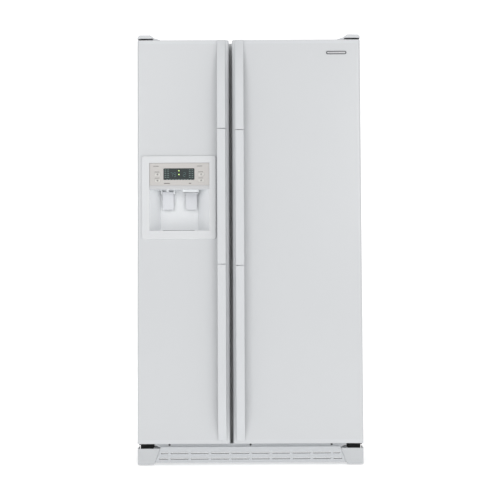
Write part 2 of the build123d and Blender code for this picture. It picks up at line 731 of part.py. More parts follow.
def chute(inset, mode=Mode.ADD, extra=0.0):
    """The slanted ice passage through the freezer door."""
    low, high = chute_low - extra, bulge_z[1] + extra
    low_y, high_y = chute_y(low), chute_y(high)
    side_profile(
        [
            (low_y[0] + inset, low), (low_y[1] - inset, low),
            (high_y[1] - inset, high), (high_y[0] + inset, high),
        ],
        shrink(chute_x, inset),
        mode,
    )


def recess(grow, mode):
    """The drafted dispenser recess, grown by a wall thickness on its sides and back."""
    mouth_height = recess_top - bezel_z[0]
    with BuildSketch(Plane.XZ.offset(-y_door)) as mouth:
        with Locations((sum(bezel_x) / 2, bezel_z[0] + mouth_height / 2)):
            Rectangle(bezel_x[1] - bezel_x[0] + 2 * grow, mouth_height + 2 * grow)
    back_width = recess_back_x[1] - recess_back_x[0]
    with BuildSketch(Plane.XZ.offset(-recess_y - grow)) as back_wall:
        with Locations((sum(recess_back_x) / 2, (bezel_z[0] + recess_rise + recess_top) / 2)):
            Rectangle(back_width + 2 * grow, mouth_height - recess_rise + 2 * grow)
    loft([mouth.sketch, back_wall.sketch], mode=mode)


def door_set(name, x, side, liner_in):
    """The panel, end caps, gasket, liner and foam of one door."""
    hinge_x = side * pin_x
    free_wall = liner_in[1] if side < 0 else liner_in[0]
    hinge_wall = liner_in[0] if side < 0 else liner_in[1]
    free_reach = bin_span(hinge_x, free_wall, dyke_depth)
    dyke_x = sorted((hinge_wall - side * swing_gap, hinge_x - side * free_reach))
    seal_x = sorted((side * (half - seal_inset), (x[1] if side < 0 else x[0]) + side * seal_inset_free))
    seal_z = shrink(door_z, seal_inset_end)
    inside = shrink(x, door_skin)
    is_freezer = side < 0

    with BuildPart() as panel:
        door_section(x, (y_door, y_door_back), shrink(door_z, cap_height), door_edge_radius)
        inner_y = (y_door + door_skin, y_door_back + 1)
        door_section(inside, inner_y, door_z, door_edge_radius - door_skin, Mode.SUBTRACT)
        if is_freezer:
            block(shrink(disp_x, cutout), (y_door - 1, y_door + 5), shrink(disp_z, cutout), Mode.SUBTRACT)
    save(panel, f"{name}_door_panel")

    with BuildPart() as caps:
        for low, high in ((door_bottom, door_bottom + cap_height), (door_top - cap_height, door_top)):
            door_section(x, (y_door, y_door_back), (low, high), door_edge_radius)
            pin_mid = (hinge_x, y_pin, (low + high) / 2)
            rod(pin_mid, hinge_pin_radius + run_gap, 60, (0, 0, 1), Mode.SUBTRACT)
        ends = caps.faces().filter_by(Axis.Z).sort_by(Axis.Z)
        fillet(ends[-1].outer_wire().edges().group_by(Axis.Y)[0], 3)
    save(caps, f"{name}_door_caps")

    with BuildPart() as door_liner:
        liner_z = shrink(door_z, cap_height)
        block(inside, (y_door_back - liner_wall, y_door_back), liner_z)
        ring(dyke_x, (y_door_back - liner_wall, y_door_back + dyke_depth), dyke_z, dyke_width)
        if is_freezer:
            block(bulge_x, (y_door_back - liner_wall, bulge_back), bulge_z)
            block(
                shrink(bulge_x, liner_wall), (y_door_back - 9, bulge_back - liner_wall),
                shrink(bulge_z, liner_wall), Mode.SUBTRACT,
            )
            chute(-housing_wall, Mode.SUBTRACT, 4.0)
        ring(
            shrink(dyke_x, liner_wall), (y_door_back - 9, y_door_back + dyke_depth - liner_wall),
            shrink(dyke_z, liner_wall), dyke_width - 2 * liner_wall, Mode.SUBTRACT,
        )
    save(door_liner, f"{name}_door_liner")

    with BuildPart() as foam:
        foam_y = (y_door + door_skin, y_door_back - liner_wall)
        foam_z = shrink(door_z, cap_height)
        door_section(inside, foam_y, foam_z, door_edge_radius - door_skin)
        ring(
            shrink(dyke_x, liner_wall), (y_door_back - 9, y_door_back + dyke_depth - liner_wall),
            shrink(dyke_z, liner_wall), dyke_width - 2 * liner_wall,
        )
        if is_freezer:
            block(
                shrink(bulge_x, liner_wall), (y_door_back - 9, bulge_back - liner_wall),
                shrink(bulge_z, liner_wall),
            )
            housing_x, housing_z = shrink(disp_x, cutout), shrink(disp_z, cutout)
            block(housing_x, (y_door, y_door + flange_depth), housing_z, Mode.SUBTRACT)
            recess(housing_wall, Mode.SUBTRACT)
            chute(-housing_wall, Mode.SUBTRACT, 4.0)
    save(foam, f"{name}_door_foam")

    with BuildPart() as gasket:
        thick = seal_gap - 0.3
        ring(seal_x, (y_door_back, y_door_back + 4), seal_z, seal_width)
        neck = shrink(seal_x, 4), shrink(seal_z, 4)
        ring(neck[0], (y_door_back + 4, y_door_back + thick - 4), neck[1], seal_width - 8)
        face = shrink(seal_x, 1), shrink(seal_z, 1)
        ring(face[0], (y_door_back + thick - 4, y_door_back + thick), face[1], seal_width - 2)
    save(gasket, f"{name}_gasket")
    return dyke_x


freezer_dyke = door_set("freezer", left_x, -1, freezer_in)
fridge_dyke = door_set("fridge", right_x, 1, fridge_in)

# ---------------------------------------------------------------- handles
handle_bar = 14.0
handle_web = 7.0
handle_low = door_bottom + 12.0
bow_top = 290.0
bow_bottom = 200.0
joint_gap = 3.0
joint_drops = (920.0, 372.0)
joint_step = 5.5


def bow(offset):
    """The handle's side outline: rising from the door, straight, and back to it."""
    lead = y_door - 2 + offset
    crown = y_handle + offset
    behind = y_door if offset == 0 else y_door + 40
    with BuildLine() as outline:
        top = Spline((lead, door_top), (crown, door_top - bow_top), tangents=((-0.35, -1), (0, -1)))
        low = Spline((crown, handle_low + bow_bottom), (lead, handle_low), tangents=((0, -1), (0.5, -1)))
        Line(top @ 1, low @ 0)
        Polyline(low @ 1, (behind, handle_low), (behind, door_top), top @ 0)
    make_face(outline.edges())


def handle(outer, side, joints):
    """A full height bow handle in three lengths, open to the fingers on its outer side."""
    span = sorted((outer, outer + side * handle_width))
    gap_x = sorted((outer + side * handle_web, outer + side * (handle_width + 1)))
    with BuildPart() as grip:
        with BuildSketch(Plane.YZ.offset(span[0])) as outline:
            bow(0)
        extrude(outline.sketch, amount=span[1] - span[0])
        with BuildSketch(Plane.YZ.offset(gap_x[0])) as hollow:
            bow(handle_bar)
        with BuildSketch(Plane.YZ.offset(gap_x[0])) as limit:
            with Locations((y_door, 0)):
                Rectangle(2 * handle_reach, 2 * door_top, align=(Align.MAX, Align.MIN))
        extrude(hollow.sketch & limit.sketch, amount=gap_x[1] - gap_x[0], mode=Mode.SUBTRACT)
        for z in joints:
            block((span[0] - 1, span[1] + 1), (y_handle - 1, y_door + 1), (z, z + joint_gap), Mode.SUBTRACT)
    return grip


left_outer = left_x[1] - handle_inset
right_outer = right_x[0] + handle_inset
freezer_joints = [door_top - drop for drop in joint_drops]
fridge_joints = [z - joint_step for z in freezer_joints]
save(handle(left_outer, -1, freezer_joints), "freezer_handle")
save(handle(right_outer, 1, fridge_joints), "fridge_handle")

# ---------------------------------------------------------------- door bins
bin_gap = 20.0
bin_front = 57.0
dairy_z = (ceiling_z - 242.0, ceiling_z - 92.0)
low_levels = levels(floor_z + 52.0, bin_pitch, crisper_top + shelf_thick - bin_height)
freezer_high = levels(drawer_high[1] + 150.0, bin_pitch, bulge_z[0] - bin_height - bin_gap)
fridge_high = levels(drawer_high[1] + 180.0, bin_pitch, dairy_z[0] - bin_height - bin_gap)
shallow_bins = [(z, shallow_reach) for z in low_levels]
freezer_bins = [*shallow_bins, *[(z, bin_reach) for z in (*freezer_high, bucket_z[1] + 70.0)]]
fridge_bins = [*shallow_bins, *[(z, bin_reach) for z in fridge_high]]


def bin_width(dyke, side, free_wall, reach):
    """The span of a bin between the liner's ribs that still swings past the free wall."""
    hinge_x = side * pin_x
    limit = hinge_x - side * bin_span(hinge_x, free_wall, reach + swing_gap)
    rib = shrink(dyke, dyke_width + fit_gap)
    return (rib[0], min(limit, rib[1])) if side < 0 else (max(limit, rib[0]), rib[1])


def bin_row(dyke, side, free_wall, rows):
    """Shelf bins held between the door liner's upright ribs, with a lowered front edge."""
    for level, reach in rows:
        x = bin_width(dyke, side, free_wall, reach)
        tray(x, (y_door_back, y_door_back + reach), (level, level + bin_height), tray_wall)
        block(
            shrink(x, 30), (y_door_back + reach - 5, y_door_back + reach + 5),
            (level + bin_front, level + bin_height + 5), Mode.SUBTRACT,
        )


# ---------------------------------------------------------------- dairy compartment and its cover
dairy_x = bin_width(fridge_dyke, 1, fridge_in[0], bin_reach)
dairy_y = (y_door_back + 6, y_door_back + bin_reach - 6)
dairy_hinge = (dairy_y[0] + 8, dairy_z[1] - 10)
dairy_pin = 3.0
dairy_lip = 56.0

with BuildPart() as dairy_cover:
    cover_span = shrink(dairy_x, tray_wall + 0.8)
    block(cover_span, (dairy_y[1] - 3, dairy_y[1]), (dairy_z[0] + dairy_lip + 6, dairy_z[1]))
    block(cover_span, dairy_y, (dairy_z[1] - 3, dairy_z[1]))
    for x in (cover_span[0], cover_span[1] - 3):
        block((x, x + 3), (dairy_y[0], dairy_y[1]), (dairy_z[1] - 20, dairy_z[1]))
    for x in (cover_span[0] + 1, cover_span[1] - 1):
        rod((x, dairy_hinge[0], dairy_hinge[1]), dairy_pin, 8, (1, 0, 0))
save(dairy_cover, "dairy_cover")

with BuildPart() as freezer_door_bins:
    bin_row(freezer_dyke, -1, freezer_in[1], freezer_bins)
save(freezer_door_bins, "freezer_door_bins")

with BuildPart() as fridge_door_bins:
    bin_row(fridge_dyke, 1, fridge_in[0], fridge_bins)
    tray(dairy_x, (y_door_back, dairy_y[1]), (dairy_z[0], dairy_z[0] + dairy_lip), tray_wall)
    for wall in (dairy_x[0], dairy_x[1] - tray_wall):
        block((wall, wall + tray_wall), (y_door_back, dairy_y[1] - 14), (dairy_z[0], dairy_z[1] + 6))
    middle = (sum(dairy_x) / 2, *dairy_hinge)
    rod(middle, dairy_pin + run_gap, dairy_x[1] - dairy_x[0] + 4, (1, 0, 0), Mode.SUBTRACT)
save(fridge_door_bins, "fridge_door_bins")

# ================================================================ dispenser
key_size = (24.0, 12.0)
key_x = (bezel_x[0] + 33.0, bezel_x[1] - 33.3)
key_z = (bezel_z[1] - 47.0, bezel_z[1] - 72.0)
key_travel = 1.0
key_gap = 0.4
display_x = (bezel_x[0] + 57.0, bezel_x[1] - 60.6)
display_size = (display_x[1] - display_x[0], 47.0)
display_mid = (sum(display_x) / 2, bezel_z[1] - 45.5)
y_panel = y_door - 1.0
panel_thick = 3.0
lever_size = (lever_width, 76.0)
lever_x = (water_x, auger_x)
lever_pivot_z = recess_top - 9.0
lever_thick = 4.0
y_lever = recess_y - 14.0
lever_pin_radius = 3.0
flap_z = chute_low + 72.0
flap_y = chute_y(flap_z)[0] + 4.0
flap_length = 32.0

with BuildPart() as dispenser_housing:
    proud_y = y_door - frame_proud
    block(disp_x, (proud_y, y_door), disp_z)
    fillet(dispenser_housing.edges().filter_by(Axis.Y), 10)
    front = dispenser_housing.faces().sort_by(Axis.Y)[0]
    fillet(front.edges(), 5)
    body_x, body_z = shrink(disp_x, cutout + 1), shrink(disp_z, cutout + 1)
    block(body_x, (y_door, y_door + flange_depth), body_z)
    recess(housing_wall, Mode.ADD)
    block(bezel_x, (proud_y - 1, y_door), (bezel_z[0], recess_top), Mode.SUBTRACT)
    block(bezel_x, (proud_y - 1, y_door - 0.5), (recess_top - 1, panel_low + 1), Mode.SUBTRACT)
    pocket_y = (proud_y - 1, y_door + flange_depth - housing_wall)
    block(bezel_x, pocket_y, (panel_low, bezel_z[1]), Mode.SUBTRACT)
    recess(0.0, Mode.SUBTRACT)
    for x in lever_x:
        for side in (-1, 1):
            inner = x + side * (lever_size[0] / 2 + 0.6)
            span = sorted((inner, inner + side * 5))
            block(span, (y_lever - 7, y_lever + 7), (lever_pivot_z - 7, recess_top + 2))
            rod((inner, y_lever, lever_pivot_z), lever_pin_radius + run_gap, 20, (1, 0, 0), Mode.SUBTRACT)
    chute(-housing_wall)
    chute(0.0, Mode.SUBTRACT, 6.0)
    flap_rod = chute_x[1] - chute_x[0] + 4.0
    rod((auger_x, flap_y, flap_z - 1), 2.0 + run_gap, flap_rod + 2, (1, 0, 0), Mode.SUBTRACT)
    spout = (lever_x[0], y_lever - 24)
    rod((*spout, recess_top - 3), 5, 10)
    rod((*spout, recess_top - 5), 3, 10, (0, 0, 1), Mode.SUBTRACT)
save(dispenser_housing, "dispenser_housing")

with BuildPart() as control_panel:
    plate_z_span = (panel_low + 0.5, bezel_z[1] - 0.5)
    block(shrink(bezel_x, 0.5), (y_panel, y_panel + panel_thick), plate_z_span)
    with BuildSketch(Plane.XZ.offset(-y_panel + 1)) as holes:
        with Locations(display_mid):
            RectangleRounded(display_size[0] + 0.4, display_size[1] + 0.4, 4)
        with Locations(*[(x, z) for x in key_x for z in key_z]):
            RectangleRounded(key_size[0] + 2 * key_gap, key_size[1] + 2 * key_gap, 4)
    extrude(holes.sketch, amount=-10, mode=Mode.SUBTRACT)
save(control_panel, "control_panel")

with BuildPart() as display_lens:
    with BuildSketch(Plane.XZ.offset(-y_panel - 0.6)) as lens:
        with Locations(display_mid):
            RectangleRounded(*display_size, 4)
    extrude(lens.sketch, amount=-2.4)
    with BuildSketch(Plane.XZ.offset(-y_panel - panel_thick)) as board:
        with Locations(display_mid):
            Rectangle(display_size[0] + 10, display_size[1] + 8)
    extrude(board.sketch, amount=-2)
save(display_lens, "display_lens")

key_index = 0
for x in key_x:
    for z in key_z:
        key_index += 1
        with BuildPart() as key:
            with BuildSketch(Plane.XZ.offset(-y_panel + 1.2)) as cap:
                with Locations((x, z)):
                    RectangleRounded(*key_size, 3.6)
            extrude(cap.sketch, amount=-(panel_thick + 1.5))
            fillet(key.faces().sort_by(Axis.Y)[0].edges(), 0.8)
            rim = (y_panel + panel_thick + 0.3, y_panel + panel_thick + 1.5)
            block((x - 14, x + 14), rim, (z - 8, z + 8))
        save(key, f"button_{key_index}")

for x, label in zip(lever_x, ("water_lever", "ice_lever")):
    with BuildPart() as lever:
        top = lever_pivot_z + 5
        span = (x - lever_size[0] / 2, x + lever_size[0] / 2)
        block(span, (y_lever - lever_thick / 2, y_lever + lever_thick / 2), (top - lever_size[1], top))
        fillet(lever.edges().filter_by(Axis.Y).group_by(Axis.Z)[0], 7)
        fillet(lever.faces().sort_by(Axis.Y)[0].edges(), 1.2)
        rod((x, y_lever, lever_pivot_z), 5, lever_size[0], (1, 0, 0))
        rod((x, y_lever, lever_pivot_z), lever_pin_radius, lever_size[0] + 10, (1, 0, 0))
    save(lever, label)

with BuildPart() as chute_flap:
    block(shrink(chute_x, 1.5), (flap_y, flap_y + flap_length), (flap_z - 2, flap_z))
    rod((auger_x, flap_y, flap_z - 1), 2.0, flap_rod, (1, 0, 0))
save(chute_flap, "chute_flap")
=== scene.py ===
"""A side by side refrigerator around its CAD frame: finishes, fittings, studio and camera.

All sizes are in metres, in the frame's own axes: the doors face -Y and +Z is up.
"""
import math

import bmesh
import bpy
from mathutils import Matrix, Vector


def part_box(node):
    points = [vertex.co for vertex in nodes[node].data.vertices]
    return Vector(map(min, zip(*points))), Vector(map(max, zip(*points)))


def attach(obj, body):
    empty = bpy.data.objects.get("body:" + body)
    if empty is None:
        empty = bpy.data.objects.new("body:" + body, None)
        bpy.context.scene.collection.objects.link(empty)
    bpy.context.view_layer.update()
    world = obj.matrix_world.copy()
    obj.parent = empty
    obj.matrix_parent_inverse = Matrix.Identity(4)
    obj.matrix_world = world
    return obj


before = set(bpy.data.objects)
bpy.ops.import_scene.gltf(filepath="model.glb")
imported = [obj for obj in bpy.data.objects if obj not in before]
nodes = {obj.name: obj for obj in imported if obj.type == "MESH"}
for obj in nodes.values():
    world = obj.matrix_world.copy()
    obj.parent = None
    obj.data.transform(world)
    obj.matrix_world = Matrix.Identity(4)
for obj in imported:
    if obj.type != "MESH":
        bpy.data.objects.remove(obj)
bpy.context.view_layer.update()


# ---------------------------------------------------------------- material building
def new_material(name):
    """A material with an empty Principled shader, and its node tree."""
    material = bpy.data.materials.new(name)
    material.use_nodes = True
    tree = material.node_tree
    return material, tree, tree.nodes["Principled BSDF"]


def add(tree, kind, **settings):
    """A node with its attributes and input defaults set."""
    node = tree.nodes.new(kind)
    for key, value in settings.items():
        if key in node.inputs:
            node.inputs[key].default_value = value
        else:
            setattr(node, key, value)
    return node


def noise(tree, scale, detail=2.0, stretch=(1, 1, 1), roughness=0.5):
    """Noise in object space, in cells per metre, optionally stretched."""
    coords = add(tree, "ShaderNodeTexCoord")
    mapping = add(tree, "ShaderNodeMapping")
    mapping.inputs["Scale"].default_value = stretch
    texture = add(tree, "ShaderNodeTexNoise")
    texture.inputs["Scale"].default_value = scale
    texture.inputs["Detail"].default_value = detail
    texture.inputs["Roughness"].default_value = roughness
    tree.links.new(coords.outputs["Object"], mapping.inputs["Vector"])
    tree.links.new(mapping.outputs["Vector"], texture.inputs["Vector"])
    return texture


def remap(tree, source, low, high, span=(0.3, 0.7)):
    """A noise value spread between two numbers."""
    node = add(tree, "ShaderNodeMapRange")
    node.inputs["From Min"].default_value = span[0]
    node.inputs["From Max"].default_value = span[1]
    node.inputs["To Min"].default_value = low
    node.inputs["To Max"].default_value = high
    tree.links.new(source, node.inputs["Value"])
    return node.outputs["Result"]


def tint(tree, shader, factor, first, second):
    """Base colour between two colours by a factor."""
    mix = add(tree, "ShaderNodeMix", data_type="RGBA")
    mix.inputs["A"].default_value = (*first, 1.0)
    mix.inputs["B"].default_value = (*second, 1.0)
    tree.links.new(factor, mix.inputs["Factor"])
    tree.links.new(mix.outputs["Result"], shader.inputs["Base Color"])
    return mix


def tone(tree, shader, source, colour, down, up, span=(0.3, 0.7)):
    """Base colour drifting with a noise, from a little darker to a little lighter."""
    tint(tree, shader, remap(tree, source, 0, 1, span), shade(colour, down), shade(colour, up))


def gloss(tree, shader, source, low, high, span=(0.3, 0.7)):
    """Roughness drifting with a noise between two values."""
    tree.links.new(remap(tree, source, low, high, span), shader.inputs["Roughness"])


def bump(tree, shader, height, distance, strength=1.0, after=None):
    """Relief from a height, chained after an earlier relief if there is one."""
    node = add(tree, "ShaderNodeBump")
    node.inputs["Strength"].default_value = strength
    node.inputs["Distance"].default_value = distance
    tree.links.new(height, node.inputs["Height"])
    if after is not None:
        tree.links.new(after.outputs["Normal"], node.inputs["Normal"])
    tree.links.new(node.outputs["Normal"], shader.inputs["Normal"])
    return node


def shade(colour, amount):
    """A colour made lighter or darker."""
    return tuple(min(1.0, max(0.0, c * (1 + amount))) for c in colour)


def enamel(name, colour, rough=0.32):
    """Sprayed white enamel on steel: orange peel, faint tone drift, a clear top coat."""
    material, tree, shader = new_material(name)
    drift = noise(tree, 2.2, 3.0)
    tone(tree, shader, drift.outputs["Fac"], colour, -0.007, 0.005)
    smear = noise(tree, 14.0, 4.0, (1, 1, 0.35))
    gloss(tree, shader, smear.outputs["Fac"], rough - 0.015, rough + 0.02)
    peel = noise(tree, 420.0, 2.0)
    first = bump(tree, shader, peel.outputs["Fac"], 0.00012, 0.35)
    wave = noise(tree, 9.0, 1.0)
    bump(tree, shader, wave.outputs["Fac"], 0.0006, 0.08, first)
    shader.inputs["Coat Weight"].default_value = 0.25
    shader.inputs["Coat Roughness"].default_value = 0.18
    return material


def moulded(name, colour, rough=0.42, grain=900.0, depth=0.00006, coat=0.0):
    """Injection-moulded plastic: fine spark grain, slight flow marks and tone drift."""
    material, tree, shader = new_material(name)
    drift = noise(tree, 5.0, 2.0)
    tone(tree, shader, drift.outputs["Fac"], colour, -0.012, 0.008)
    handled = noise(tree, 22.0, 4.0)
    gloss(tree, shader, handled.outputs["Fac"], rough - 0.02, rough + 0.03)
    spark = noise(tree, grain, 3.0)
    bump(tree, shader, spark.outputs["Fac"], depth, 0.5)
    shader.inputs["Coat Weight"].default_value = coat
    return material


def galvanised(name, colour=(0.5, 0.51, 0.52)):
    """Zinc-coated steel with its spangle of crystal patches."""
    material, tree, shader = new_material(name)
    coords = add(tree, "ShaderNodeTexCoord")
    cells = add(tree, "ShaderNodeTexVoronoi")
    cells.inputs["Scale"].default_value = 90.0
    tree.links.new(coords.outputs["Object"], cells.inputs["Vector"])
    level = add(tree, "ShaderNodeSeparateColor")
    tree.links.new(cells.outputs["Color"], level.inputs["Color"])
    tone(tree, shader, level.outputs["Red"], colour, -0.12, 0.14, (0, 1))
    gloss(tree, shader, level.outputs["Green"], 0.32, 0.52, (0, 1))
    fine = noise(tree, 600.0, 2.0)
    bump(tree, shader, fine.outputs["Fac"], 0.00004, 0.4)
    shader.inputs["Metallic"].default_value = 0.85
    return material


def brushed(name, colour, direction=(1, 1, 0.04), rough=0.3):
    """Bare metal with fine lines along one direction."""
    material, tree, shader = new_material(name)
    lines = noise(tree, 900.0, 2.0, direction)
    tone(tree, shader, lines.outputs["Fac"], colour, -0.14, 0.1)
    gloss(tree, shader, lines.outputs["Fac"], rough, rough + 0.2)
    bump(tree, shader, lines.outputs["Fac"], 0.00003, 0.5)
    shader.inputs["Metallic"].default_value = 1.0
    return material


def black_paint(name, colour=(0.009, 0.009, 0.01), rough=0.42):
    """Black baked paint with dust on it and a slight texture."""
    material, tree, shader = new_material(name)
    dust = noise(tree, 30.0, 5.0)
    tone(tree, shader, dust.outputs["Fac"], colour, 0.0, 1.4, (0.5, 0.85))
    gloss(tree, shader, dust.outputs["Fac"], rough - 0.08, rough + 0.2)
    peel = noise(tree, 500.0, 2.0)
    bump(tree, shader, peel.outputs["Fac"], 0.0001, 0.4)
    return material


def foam(name):
    """Cast polyurethane foam: cream, with pores and flow bands."""
    material, tree, shader = new_material(name)
    bands = noise(tree, 12.0, 4.0, (1, 1, 2.5))
    blend = remap(tree, bands.outputs["Fac"], 0, 1)
    tint(tree, shader, blend, (0.78, 0.66, 0.42), (0.86, 0.76, 0.54))
    pores = add(tree, "ShaderNodeTexVoronoi")
    pores.inputs["Scale"].default_value = 420.0
    coords = add(tree, "ShaderNodeTexCoord")
    tree.links.new(coords.outputs["Object"], pores.inputs["Vector"])
    bump(tree, shader, pores.outputs["Distance"], 0.0006, 0.7)
    shader.inputs["Roughness"].default_value = 0.9
    return material


def rubber(name, colour, rough=0.62):
    """Soft vinyl or rubber: matt, with extrusion lines and a bloom."""
    material, tree, shader = new_material(name)
    bloom = noise(tree, 40.0, 5.0)
    tone(tree, shader, bloom.outputs["Fac"], colour, -0.08, 0.06)
    gloss(tree, shader, bloom.outputs["Fac"], rough - 0.08, rough + 0.1)
    grit = noise(tree, 1200.0, 2.0)
    bump(tree, shader, grit.outputs["Fac"], 0.00008, 0.5)
    return material


def clear(name, colour, rough, weight, ior=1.49, frost=160.0):
    """See-through plastic or glass with a faint ripple and finger haze."""
    material, tree, shader = new_material(name)
    haze = noise(tree, 18.0, 4.0)
    tone(tree, shader, haze.outputs["Fac"], colour, -0.03, 0.02)
    gloss(tree, shader, haze.outputs["Fac"], rough, rough + 0.08)
    ripple = noise(tree, frost, 2.0)
    bump(tree, shader, ripple.outputs["Fac"], 0.0001, 0.25)
    shader.inputs["Transmission Weight"].default_value = weight
    shader.inputs["IOR"].default_value = ior
    return material


def glowing(name, colour, strength):
    """A lit display segment, dimmed in spots by a fine dot mesh."""
    material, tree, shader = new_material(name)
    mesh_dots = noise(tree, 2500.0, 1.0)
    tone(tree, shader, mesh_dots.outputs["Fac"], colour, -0.2, 0.0)
    level = remap(tree, mesh_dots.outputs["Fac"], strength * 0.7, strength)
    tree.links.new(level, shader.inputs["Emission Strength"])
    shader.inputs["Emission Color"].default_value = (*colour, 1)
    shader.inputs["Roughness"].default_value = 0.4
    return material


SKIN = enamel("enamel_white", (0.622, 0.635, 0.649))
TRIM = moulded("trim_white", (0.64, 0.655, 0.672), 0.36, coat=0.12)
LEG_TRIM = moulded("leg_trim_white", (0.56, 0.575, 0.59), 0.45)
HOUSING = moulded("housing_white", (0.675, 0.687, 0.70), 0.4, coat=0.1)
# The housing plastic made darker: painted shade on the strip under the control panel.
HEADER_PAINTED_SHADE = moulded("header_painted_shade", (0.567, 0.572, 0.58), 0.45)
# The housing plastic made lighter: painted light on the recess walls, against the shade inside
# the dispenser recess.
RECESS_PAINTED_LIGHT = moulded("recess_painted_light", (0.83, 0.845, 0.86), 0.4, coat=0.1)
# Dark grey painted shade on the small faces inside the grille slots.
SLOT_PAINTED_SHADE = moulded("slot_painted_shade", (0.20, 0.205, 0.21), 0.6)
PADDLE = moulded("paddle_white", (0.70, 0.712, 0.74), 0.38, coat=0.15)
GRILLE = moulded("grille_white", (0.565, 0.583, 0.602), 0.5)
PANEL = moulded("panel_beige", (0.56, 0.542, 0.525), 0.45, 1500.0)
KEYS = moulded("key_beige", (0.645, 0.635, 0.61), 0.5, 1500.0)
LENS = moulded("lens_dark", (0.032, 0.042, 0.042), 0.22, 300.0, 0.00002, 0.2)
LINER = moulded("liner_white", (0.78, 0.79, 0.80), 0.3, 260.0, 0.00012, 0.2)
GASKET = rubber("gasket_grey", (0.42, 0.425, 0.43))
RUBBER = rubber("rubber_black", (0.03, 0.03, 0.032))
ROLLER = rubber("roller_grey", (0.16, 0.16, 0.165), 0.5)
DARK_PLASTIC = moulded("dark_plastic", (0.05, 0.05, 0.053), 0.5)
GREY_PLASTIC = moulded("grey_plastic", (0.3, 0.31, 0.32), 0.45)
BLACK = black_paint("black_paint")
ZINC = galvanised("zinc_steel")
STEEL = brushed("bright_steel", (0.62, 0.62, 0.63))
COPPER = brushed("copper_pipe", (0.72, 0.36, 0.22), (1, 1, 1), 0.25)
FINS = brushed("fin_aluminium", (0.78, 0.79, 0.8), (0.04, 1, 1), 0.32)
FOAM = foam("insulation_foam")
BIN = clear("bin_clear", (0.955, 0.975, 0.985), 0.08, 0.82)
DRAWER = clear("drawer_clear", (0.93, 0.96, 0.975), 0.16, 0.72)
GLASS = clear("shelf_glass", (0.88, 0.96, 0.93), 0.02, 0.92, 1.5, 40.0)
LAMP = clear("lamp_frosted", (0.95, 0.95, 0.93), 0.5, 0.45)
GLOW_GREEN = glowing("glow_green", (0.62, 0.85, 0.25), 2.2)
GLOW_TEAL = glowing("glow_teal", (0.09, 0.16, 0.15), 0.4)
GLOW_GREY = glowing("glow_grey", (0.15, 0.21, 0.20), 0.5)
BADGE_LIGHT = brushed("plate_metal", (0.7, 0.7, 0.71), (0.04, 1, 1), 0.4)
MARK = moulded("printed_mark", (0.22, 0.21, 0.20), 0.5, 2000.0, 0.00002)
BADGE = brushed("badge_metal", (0.16, 0.165, 0.175), (0.04, 1, 1), 0.3)

FINISHES = {
    "cabinet_shell": SKIN, "freezer_door_panel": SKIN, "fridge_door_panel": SKIN,
    "back_panel": ZINC, "base_frame": ZINC, "fan_shroud": ZINC, "machine_cover": ZINC,
    "door_hinges": BLACK, "compressor": BLACK,
    "cabinet_foam": FOAM, "freezer_door_foam": FOAM, "fridge_door_foam": FOAM,
    "freezer_liner": LINER, "fridge_liner": LINER, "freezer_door_liner": LINER,
    "fridge_door_liner": LINER, "evaporator_cover": LINER, "air_duct": LINER,
    "shelf_rims": LINER, "ice_maker": LINER,
    "base_grille": GRILLE, "leg_covers": LEG_TRIM, "hinge_covers": TRIM,
    "freezer_door_caps": TRIM, "fridge_door_caps": TRIM,
    "freezer_handle": TRIM, "fridge_handle": TRIM,
    "dispenser_housing": HOUSING, "water_lever": PADDLE, "ice_lever": PADDLE,
    "control_panel": PANEL, "display_lens": LENS,
    "freezer_gasket": GASKET, "fridge_gasket": GASKET, "chute_flap": RUBBER,
    "roller_left": ROLLER, "roller_right": ROLLER,
    "foot_left": DARK_PLASTIC, "foot_right": DARK_PLASTIC, "mains_inlet": DARK_PLASTIC,
    "inlet_valve": GREY_PLASTIC, "drain_pan": DARK_PLASTIC,
    "condenser_fan": DARK_PLASTIC, "evaporator_fan": GREY_PLASTIC, "ice_auger": STEEL,
    "freezer_drawer_lower": DRAWER, "freezer_drawer_upper": DRAWER,
    "crisper_lower": DRAWER, "crisper_upper": DRAWER, "ice_bucket": DRAWER,
    "freezer_door_bins": BIN, "fridge_door_bins": BIN, "dairy_cover": BIN,
    "shelf_panes": GLASS, "condenser": FINS, "evaporator": FINS,
}
for index in range(1, 5):
    FINISHES[f"button_{index}"] = KEYS
for name, finish in FINISHES.items():
    mesh = nodes[name].data
    mesh.materials.clear()
    mesh.materials.append(finish)
    for polygon in mesh.polygons:
        polygon.material_index = 0


def paint_light_and_shade_on_faces(node, extras, choose):
    """Give some faces of a node another tone, here painted light or painted shade: choose()
    returns 0, or 1 and up for an extra.
    """
    mesh = nodes[node].data
    for finish in extras:
        mesh.materials.append(finish)
    for polygon in mesh.polygons:
        polygon.material_index = choose(polygon)


# Where the painted light and painted shade go on the dispenser housing and the base grille.
RIM_DEPTH = 0.005
HEADER_DEPTH = 0.0075
SLOT_FACE = 0.0005
SLOT_FOOT, SLOT_HEAD = 0.008, 0.02
housing_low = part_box("dispenser_housing")[0]
grille_low, grille_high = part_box("base_grille")


def housing_shading_face(polygon):
    """The recess walls, made lighter as painted light, the strip under the control panel, made
    darker as painted shade, or the frame.
    """
    depth = polygon.center.y - housing_low.y
    if depth > HEADER_DEPTH:
        return 1
    return 2 if depth > RIM_DEPTH and polygon.normal.y < -0.99 else 0


def grille_shade_face(polygon):
    """The small upright and level faces inside the slots, made dark as painted shade, or the
    rest.
    """
    inside = grille_low.z + SLOT_FOOT < polygon.center.z < grille_high.z - SLOT_HEAD
    return int(inside and abs(polygon.normal.y) < 0.5 and polygon.area < SLOT_FACE)


# Painted light on the recess walls and painted shade on the strip under the control panel.
paint_light_and_shade_on_faces("dispenser_housing", (RECESS_PAINTED_LIGHT, HEADER_PAINTED_SHADE), housing_shading_face)
# Painted shade on the faces inside the grille slots.
paint_light_and_shade_on_faces("base_grille", (SLOT_PAINTED_SHADE,), grille_shade_face)


